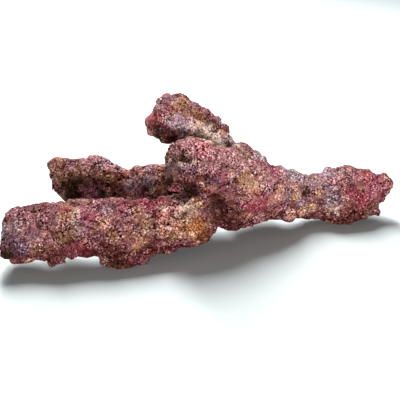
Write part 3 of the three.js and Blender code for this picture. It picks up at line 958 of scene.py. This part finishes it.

# The dabs on the side that the camera sees, limb by limb, each over the ones before it. Most are stains of
# the crust. The near-black umber dabs are painted shade in gaps, crevices, holes and under the limbs, the
# maroon and wine dabs low on the limbs are partly painted shade, and some pale dabs are partly painted light
# where the stone lies in shade.
SEEN_STAINS_AND_PAINTED_LIGHT = [
    # front branch
    Dab(Hue.ROSE, (52, 204), 10, 0.6),
    Dab(Hue.CRIMSON, (66, 212), 7.5, 1),
    Dab(Hue.MAGENTA, (88, 212), 11.5),
    Dab(Hue.LAVENDER, (104, 207), 7, 0.9),
    Dab(Hue.CRIMSON, (148, 204), 12),
    Dab(Hue.ROSE, (98, 205), 8, 1),
    Dab(Hue.MAGENTA, (122, 205), 8),
    Dab(Hue.MAROON, (75, 205), 6, 0.8),
    Dab(Hue.CRIMSON, (161, 202), 9),
    Dab(Hue.ROSE, (15, 212), 9, 1),
    Dab(Hue.PLUM, (28, 207), 10.5, 1),
    Dab(Hue.LILAC, (20, 225), 8),
    Dab(Hue.DUSTY_PINK, (30, 222), 8, 1),
    Dab(Hue.ROSE, (38, 229), 9, 0.8),
    Dab(Hue.ROSE, (46, 220), 6, 0.9),
    Dab(Hue.VIOLET, (32, 235), 6, 0.7),
    Dab(Hue.PINK, (60, 222), 6, 0.8),
    Dab(Hue.CREAM, (74, 221), 5, 0.6),
    Dab(Hue.LILAC, (79, 228), 8),
    Dab(Hue.PLUM, (112, 205), 8),
    Dab(Hue.ROSE, (120, 222), 9, 0.5),
    Dab(Hue.ROSE, (131, 221), 6.5),
    Dab(Hue.PLUM, (100, 236), 10.5),
    Dab(Hue.PLUM, (160, 238), 10.5),
    Dab(Hue.VIOLET, (24, 250), 9),
    Dab(Hue.VIOLET, (14, 243), 9),
    Dab(Hue.OCHRE, (63, 216), 5.5),
    Dab(Hue.CREAM, (75, 212), 4, 1),
    Dab(Hue.ROSE, (86, 206), 7),
    Dab(Hue.OLIVE, (68, 236), 10.5),
    Dab(Hue.TAN, (38, 251), 8, 0.6),
    Dab(Hue.PEACH, (45, 234), 3, 0.6),
    Dab(Hue.OCHRE, (112, 234), 5, 0.8),
    Dab(Hue.WINE, (127, 240), 8, 0.6),
    Dab(Hue.TAN, (145, 224), 8),
    Dab(Hue.PEACH, (103, 223), 6.5),
    # partly painted light: pale dabs where the raised branch shades the front branch's end
    Dab(Hue.CREAM, (170, 212), 9, 1),
    Dab(Hue.CREAM, (185, 210), 10.5, 1),
    Dab(Hue.CRIMSON, (172, 205), 6.5),
    Dab(Hue.SAND, (197, 204), 6.5),
    Dab(Hue.OCHRE, (170, 228), 10.5),
    Dab(Hue.OCHRE, (186, 226), 11.5, 0.7),
    Dab(Hue.ORANGE, (197, 228), 10.5, 1),
    Dab(Hue.RUST, (205, 235), 8, 1),
    Dab(Hue.OLIVE, (172, 235), 6),
    Dab(Hue.CREAM, (192, 234), 3, 0.7),
    Dab(Hue.CORAL, (168, 220), 9, 1),
    Dab(Hue.PEACH, (170, 221), 7, 0.9),
    # painted shade under the front branch's left end
    Dab(Hue.UMBER, (8, 256), 8, 1),
    Dab(Hue.PLUM, (16, 260), 8),
    Dab(Hue.UMBER, (11, 250), 6, 0.5),
    Dab(Hue.LAVENDER, (4, 233), 8, 1),
    # partly painted shade: the maroon and wine dabs low on the front branch; the umber under its foot is
    # painted shade
    Dab(Hue.MAROON, (106, 248), 8, 1),
    Dab(Hue.MAROON, (116, 250), 8, 0.8),
    Dab(Hue.MAROON, (152, 243), 6.5),
    Dab(Hue.MAROON, (76, 242), 6.5),
    Dab(Hue.CRIMSON, (82, 251), 11.5),
    Dab(Hue.WINE, (89, 250), 8),
    Dab(Hue.WINE, (68, 252), 9, 1),
    Dab(Hue.MAROON, (56, 258), 10.5),
    Dab(Hue.MAROON, (122, 258), 11.5, 1),
    Dab(Hue.UMBER, (116, 263), 7, 0.7),
    Dab(Hue.WINE, (137, 260), 9),
    Dab(Hue.MAROON, (143, 250), 7, 0.6),
    Dab(Hue.WINE, (180, 246), 9),
    Dab(Hue.WINE, (159, 250), 8),
    # upper branch
    Dab(Hue.LILAC, (158, 108), 6.5, 0.7),
    Dab(Hue.CRIMSON, (152, 119), 8),
    Dab(Hue.MAROON, (151, 126), 6, 0.8),
    # painted shade under the upper branch's end, and in small spots of its channel
    Dab(Hue.UMBER, (158, 137), 8, 1),
    Dab(Hue.TAN, (182, 104), 4.5, 1),
    Dab(Hue.UMBER, (190, 108), 3.5, 0.7),
    Dab(Hue.OLIVE, (196, 113), 4, 1),
    Dab(Hue.OLIVE, (204, 118), 4.5, 1),
    Dab(Hue.UMBER, (212, 122), 4.5, 1),
    Dab(Hue.OCHRE, (176, 108), 4.5, 0.5),
    Dab(Hue.TAN, (184, 112), 4.5),
    Dab(Hue.PEACH, (193, 119), 5),
    Dab(Hue.CREAM, (201, 125), 6, 1),
    # partly painted light: pale dabs in the shaded crease at the fork
    Dab(Hue.BLEACHED, (209, 133), 9, 1),
    Dab(Hue.BLEACHED, (216, 140), 8, 1),
    Dab(Hue.BLEACHED, (221, 143), 4.5, 1),
    Dab(Hue.MAUVE, (163, 99), 6, 0.7),
    Dab(Hue.MAROON, (176, 96), 5, 1),
    Dab(Hue.VIOLET, (172, 97), 5, 1),
    Dab(Hue.MAROON, (186, 97), 4.5, 1),
    Dab(Hue.VIOLET, (196, 103), 4.5, 1),
    Dab(Hue.LILAC, (206, 109), 3.5, 0.8),
    Dab(Hue.MAUVE, (215, 116), 3.5, 1),
    Dab(Hue.LAVENDER, (223, 123), 4, 0.8),
    Dab(Hue.BLEACHED, (192, 118), 2.6, 1),
    Dab(Hue.LILAC, (167, 120), 4.5),
    Dab(Hue.LAVENDER, (176, 122), 8, 0.8),
    Dab(Hue.OLIVE, (172, 115), 4, 0.8),
    # partly painted light: pale dabs on the shaded lower flank of the upper branch
    Dab(Hue.LAVENDER, (186, 127), 9.5, 1),
    Dab(Hue.BLEACHED, (190, 131), 7, 0.9),
    Dab(Hue.MAUVE, (185, 122), 6, 0.7),
    Dab(Hue.BLEACHED, (199, 137), 8, 1),
    Dab(Hue.BLEACHED, (205, 140), 7, 1),
    Dab(Hue.LAVENDER, (227, 138), 6, 1),
    # painted shade under the upper branch, above the raised branch
    Dab(Hue.UMBER, (160, 131), 8, 0.7),
    Dab(Hue.MAROON, (172, 137), 9, 1),
    Dab(Hue.LILAC, (184, 137), 9, 1),
    # raised branch
    Dab(Hue.CORAL, (205, 147), 10.5, 1),
    Dab(Hue.PINK, (213, 152), 7, 0.8),
    Dab(Hue.PINK, (190, 146), 9),
    Dab(Hue.ROSE, (174, 152), 9, 1),
    Dab(Hue.MAUVE, (171, 168), 9, 0.9),
    Dab(Hue.MAROON, (181, 151), 3),
    Dab(Hue.PINK, (226, 153), 13, 0.9),
    Dab(Hue.PINK, (240, 160), 11),
    Dab(Hue.BLEACHED, (180, 165), 4, 1),
    Dab(Hue.MAUVE, (186, 171), 10.5),
    Dab(Hue.VIOLET, (213, 180), 8),
    # painted shade in the crevice by the raised branch's end, in its mouth and in the gap under it
    Dab(Hue.UMBER, (207, 178), 3.5, 1),
    Dab(Hue.MAROON, (200, 179), 6),
    Dab(Hue.MAROON, (186, 182), 10.5),
    Dab(Hue.UMBER, (182, 158), 4, 1),
    Dab(Hue.UMBER, (188, 159), 4, 0.7),
    Dab(Hue.UMBER, (190, 190), 11.5, 1),
    Dab(Hue.UMBER, (165, 178), 5, 1),
    Dab(Hue.UMBER, (169, 182), 7, 1),
    Dab(Hue.UMBER, (172, 192), 8, 1),
    # rear branch
    Dab(Hue.PEACH, (54, 172), 6.5),
    Dab(Hue.PLUM, (75, 163), 9, 0.7),
    Dab(Hue.PINK, (90, 162), 8, 1),
    Dab(Hue.LILAC, (105, 161), 9),
    Dab(Hue.LILAC, (116, 168), 7),
    # painted shade low on the rear branch, behind the branches in front of it
    Dab(Hue.UMBER, (70, 185), 11, 0.6),
    Dab(Hue.UMBER, (72, 196), 13, 1),
    Dab(Hue.UMBER, (90, 184), 9, 0.6),
    Dab(Hue.OCHRE, (60, 179), 7, 0.7),
    Dab(Hue.RUST, (121, 178), 7, 0.9),
    Dab(Hue.RUST, (113, 180), 6, 0.8),
    Dab(Hue.OCHRE, (106, 176), 8, 0.6),
    Dab(Hue.LILAC, (148, 168), 6.5),
    Dab(Hue.LILAC, (130, 185), 8, 0.7),
    Dab(Hue.SAND, (157, 190), 8, 0.8),
    Dab(Hue.MAROON, (119, 194), 8),
    Dab(Hue.LAVENDER, (148, 183), 8, 0.8),
    # painted shade in the gap above the front branch
    Dab(Hue.UMBER, (101, 196), 10, 0.95),
    Dab(Hue.ROSE, (93, 191), 6, 0.8),
    Dab(Hue.ROSE, (142, 193), 8, 0.8),
    # trunk
    # partly painted light: pale dabs at the shaded fork
    Dab(Hue.BLEACHED, (218, 142), 7),
    Dab(Hue.BLEACHED, (232, 144), 6, 0.8),
    Dab(Hue.TAN, (223, 133), 4, 0.9),
    Dab(Hue.MAROON, (228, 130), 3.5, 1),
    Dab(Hue.CREAM, (240, 152), 7, 0.6),
    Dab(Hue.PINK, (256, 165), 8, 1),
    Dab(Hue.LAVENDER, (259, 157), 7),
    Dab(Hue.WINE, (213, 171), 7, 1),
    Dab(Hue.PEACH, (232, 176), 5, 0.7),
    Dab(Hue.PINK, (216, 165), 6),
    Dab(Hue.OCHRE, (243, 178), 8, 0.6),
    Dab(Hue.OCHRE, (249, 183), 7, 0.7),
    Dab(Hue.SAND, (256, 192), 7, 0.4),
    Dab(Hue.MAGENTA, (275, 172), 10.5),
    Dab(Hue.PINK, (285, 179), 9),
    Dab(Hue.PINK, (270, 180), 7),
    Dab(Hue.PEACH, (277, 193), 8, 0.6),
    Dab(Hue.CRIMSON, (262, 203), 11.5),
    Dab(Hue.CRIMSON, (250, 207), 8),
    Dab(Hue.PLUM, (229, 190), 10.5),
    Dab(Hue.PLUM, (237, 196), 8),
    # painted shade in the crease where the trunk meets the front branch, and partly painted shade under the
    # trunk
    Dab(Hue.MAROON, (215, 196), 9),
    Dab(Hue.UMBER, (216, 204), 11),
    Dab(Hue.MAROON, (224, 212), 9, 1),
    Dab(Hue.MAROON, (214, 220), 8),
    Dab(Hue.MAROON, (236, 217), 10),
    Dab(Hue.MAROON, (228, 223), 8, 1),
    Dab(Hue.PLUM, (240, 225), 8),
    Dab(Hue.PINK, (262, 213), 6.5, 1),
    Dab(Hue.LILAC, (286, 203), 6.5),
    # painted shade in a hollow under the waist
    Dab(Hue.UMBER, (283, 213), 6.5, 0.9),
    Dab(Hue.PEACH, (292, 215), 7),
    Dab(Hue.SAND, (300, 212), 7, 0.9),
    Dab(Hue.SAND, (310, 205), 6, 0.9),
    Dab(Hue.PEACH, (295, 185), 8, 0.8),
    Dab(Hue.SAND, (296, 196), 8),
    Dab(Hue.LAVENDER, (300, 203), 5),
    Dab(Hue.LAVENDER, (290, 172), 10, 1),
    Dab(Hue.LAVENDER, (300, 175), 8),
    Dab(Hue.LILAC, (311, 182), 9),
    # painted shade in the dent of the waist
    Dab(Hue.UMBER, (306, 193), 4.5, 0.8),
    Dab(Hue.LAVENDER, (325, 172), 10, 0.8),
    Dab(Hue.PINK, (335, 183), 8, 1),
    Dab(Hue.MAUVE, (335, 194), 9),
    Dab(Hue.LILAC, (325, 185), 7),
    Dab(Hue.LAVENDER, (330, 201), 8, 0.7),
    Dab(Hue.BLEACHED, (335, 208), 5, 0.7),
    Dab(Hue.LAVENDER, (341, 203), 4, 1),
    Dab(Hue.MAROON, (341, 220), 9),
    Dab(Hue.MAROON, (356, 215), 13),
    Dab(Hue.MAGENTA, (374, 185), 17, 0.9),
    Dab(Hue.PINK, (355, 173), 8, 1),
    Dab(Hue.CORAL, (366, 178), 7, 0.8),
    Dab(Hue.CREAM, (364, 190), 5, 1),
    Dab(Hue.CRIMSON, (365, 198), 10.5, 1),
    Dab(Hue.WINE, (382, 194), 7),
    Dab(Hue.MAROON, (371, 206), 8),
    Dab(Hue.CRIMSON, (351, 192), 8),
    Dab(Hue.MAROON, (377, 177), 1.8, 1),
]

# The single bulges and dents that give the stone the outline and the hollows of the photo.
BULGES = [
    # outline
    Bulge((180, 98), 11, 5.5),
    Bulge((150, 123), 12, 5),
    Bulge((165, 137), 11, 6),
    Bulge((168, 141), 6, 3),
    Bulge((184, 132), 13, 5),
    Bulge((191, 132), 10, 4),
    Bulge((203, 138), 9, -3.5),
    Bulge((207, 139), 5, 2.5),
    Bulge((150, 132), 5, -3),
    Bulge((197, 107), 11, 3.5),
    Bulge((208, 113), 9, 2.5),
    Bulge((225, 129), 8, 4),
    Bulge((228, 141), 6, 3),
    Bulge((230, 137), 6, 2),
    Bulge((248, 149), 14, 4),
    Bulge((258, 157), 12, 5.5),
    Bulge((93, 160), 11, 5.5),
    Bulge((82, 162), 8, 4),
    Bulge((104, 161), 9, 4),
    Bulge((118, 167), 8, 3),
    Bulge((137, 168), 9, 3),
    Bulge((292, 174), 11, 6),
    Bulge((305, 178), 8, 4),
    Bulge((328, 171), 9, 4),
    Bulge((369, 174), 9, 4.5),
    Bulge((389, 184), 10, 4.5),
    Bulge((373, 209), 9, 8.5),
    Bulge((360, 215), 9, 4.5),
    Bulge((290, 215), 11, 6),
    Bulge((302, 216), 9, 2.5),
    Bulge((205, 238), 8, 5.5),
    Bulge((183, 244), 7, 2),
    Bulge((72, 252), 9, 7),
    Bulge((63, 257), 5, 3),
    Bulge((60, 260), 6, 5),
    Bulge((7, 252), 10, 6),
    Bulge((16, 210), 9, 2.5),
    Bulge((58, 161), 8, 3.5),
    Bulge((54, 205), 7, 2.5),
    Bulge((42, 205), 10, 2.5),
    Bulge((10, 213), 7, 2),
    Bulge((51, 187), 7, -3),
    Bulge((53, 190), 14, -10),
    Bulge((58, 196), 5, -3),
    Bulge((101, 263), 13, -5),
    Bulge((147, 260), 13, -8.5),
    Bulge((222, 230), 15, -8),
    Bulge((259, 220), 13, -9),
    Bulge((34, 261), 8, -5),
    Bulge((332, 225), 9, -5),
    Bulge((343, 225), 8, -4),
    # mouth of the raised branch
    Bulge((182, 158), 4.5, -5),
    Bulge((188, 159), 4.5, -5),
    Bulge((181, 151), 3, -2.5),
    Bulge((180, 165), 4, 1.5),
    # crevices round it
    Bulge((206, 178), 4, -3.5),
    Bulge((202, 185), 5, -4),
    Bulge((190, 190), 8, -6),
    Bulge((179, 187), 7, -4),
    # notch, ridge and spur of the front branch
    Bulge((69, 203), 5, -4),
    Bulge((62, 202), 5, 2),
    Bulge((76, 209), 5, 1.5),
    Bulge((200, 198), 6, 3),
    Bulge((204, 195), 5, 4),
    Bulge((174, 213), 3, -2.5),
    # channel and nick of the upper branch
    Bulge((170, 99), 3.5, -3.5),
    Bulge((185, 106), 5, -1.8),
    Bulge((195, 112), 5, -1.8),
    Bulge((205, 119), 5, -1.8),
    Bulge((215, 126), 5, -1.6),
    # rear branch, waist and tip
    Bulge((68, 162), 5, -2.5),
    Bulge((143, 168), 3, -3),
    Bulge((304, 192), 5, -5),
    Bulge((376, 178), 2.5, -3),
    Bulge((372, 180), 3, -2),
    Bulge((367, 180), 3, -2.5),
    Bulge((379, 190), 2.5, -3),
    Bulge((383, 195), 3, -2.5),
]


def main() -> None:
    """Builds the rock, its finish and the studio."""
    logging.basicConfig(level=logging.INFO, format="%(name)s %(message)s")
    studio = Studio()
    studio.camera()
    rock = Rock()
    rock.fuse()
    rock.weathering.bulges = studio.found(BULGES, rock.surface())
    rock.weather()
    crust = Crust(stains_and_painted_light=studio.found(SEEN_STAINS_AND_PAINTED_LIGHT, rock.surface()))
    crust.draw_groups()
    rock.part({limb: crust.material(limb) for limb in Limb})
    studio.light()
    studio.floor()


if __name__ == "__main__":
    main()
